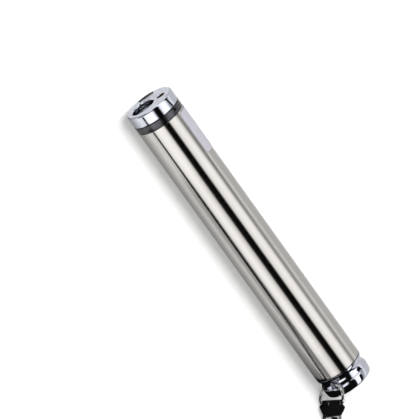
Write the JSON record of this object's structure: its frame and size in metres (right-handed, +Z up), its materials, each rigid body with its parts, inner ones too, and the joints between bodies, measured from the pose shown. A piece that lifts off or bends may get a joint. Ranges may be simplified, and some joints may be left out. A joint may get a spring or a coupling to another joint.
{
  "type": "laser flashlight",
  "caption": "Slim steel pocket torch with a white LED and a red laser in its turning head, a screwed tail cap, and a wrist cord on a wire bail.",
  "frame": {"origin": "middle of the flat end face of the tail cap", "axes": "+X along the torch from the tail to the lamps, +Z up as it lies on its side, +Y to the side where the bail and the strap lie"},
  "size_m": [0.1763, 0.0268, 0.0149],
  "materials": {
    "steel": "fine satin, brushed around",
    "chrome": "bright polished plating",
    "black_steel": "blackened, with straight knurling",
    "spring_steel": "bright drawn wire",
    "brass": "plain turned",
    "label": "satin film",
    "black_plastic": "moulded",
    "liner": "plain",
    "cell_can": "plain",
    "cell_jacket": "shrunk film",
    "clear_resin": "clear",
    "lens_glass": "polished",
    "lead": "plain",
    "board": "solder mask",
    "seal": "greased",
    "strap": "soft, stitched",
    "cord": "round braid"
  },
  "bodies": {
    "tube": {"tube": "steel", "label": "label", "snap_ring": "spring_steel", "contact_plate": "black_plastic", "led_pad": "brass", "off_pad": "brass", "laser_pad": "brass", "positive_stud": "brass", "cell_liner": "liner", "cell_can": "cell_can", "cell_jacket": "cell_jacket", "cell_washer": "label", "cell_nub": "spring_steel"},
    "head": {"head_cap": "chrome", "knurled_ring": "black_steel", "led_reflector": "chrome", "led_lamp": "clear_resin", "led_leg_1": "spring_steel", "led_leg_2": "spring_steel", "laser_barrel": "brass", "laser_lens": "lens_glass", "lens_ring": "brass", "laser_spring": "spring_steel", "laser_diode": "spring_steel", "laser_lead_1": "lead", "laser_lead_2": "lead", "lamp_carrier": "black_plastic", "driver_board": "board", "driver_chip": "black_plastic", "resistor": "black_plastic", "capacitor": "black_plastic", "wiper_contact": "brass"},
    "seal": {"tail_seal": "seal"},
    "tail_cap": {"tail_cap": "chrome", "spring_seat": "brass", "tail_spring": "spring_steel"},
    "bail": {"wire_bail": "spring_steel"},
    "strap": {"strap_tab": "strap", "crimp_ferrule": "chrome", "wrist_cord": "cord"}
  },
  "joints": [
    {"name": "head_turn", "type": "hinge", "parent": "tube", "child": "head", "pos_m": [0.0975, 0, 0], "axis": [1, 0, 0], "range_deg": [-30, 30]},
    {"name": "tail_cap_travel", "type": "slide", "parent": "tube", "child": "seal", "axis": [-1, 0, 0], "range_m": [0, 0.005]},
    {"name": "tail_cap_turn", "type": "hinge", "parent": "seal", "child": "tail_cap", "pos_m": [0, 0, 0], "axis": [-1, 0, 0], "range_deg": [0, 1800]},
    {"name": "bail_swing", "type": "hinge", "parent": "tail_cap", "child": "bail", "pos_m": [0.0037, 0.0035, 0], "axis": [0, 0, 1], "range_deg": [-60, 15]},
    {"name": "tab_swing", "type": "hinge", "parent": "bail", "child": "strap", "pos_m": [-0.00465, 0.0073, -0.00554], "axis": [0.5592, 0.829, 0], "range_deg": [-75, 35]}
  ],
  "couplings": [
    {"joint": "tail_cap_turn", "follows": "tail_cap_travel", "rad_per_m": 6283.1}
  ]
}
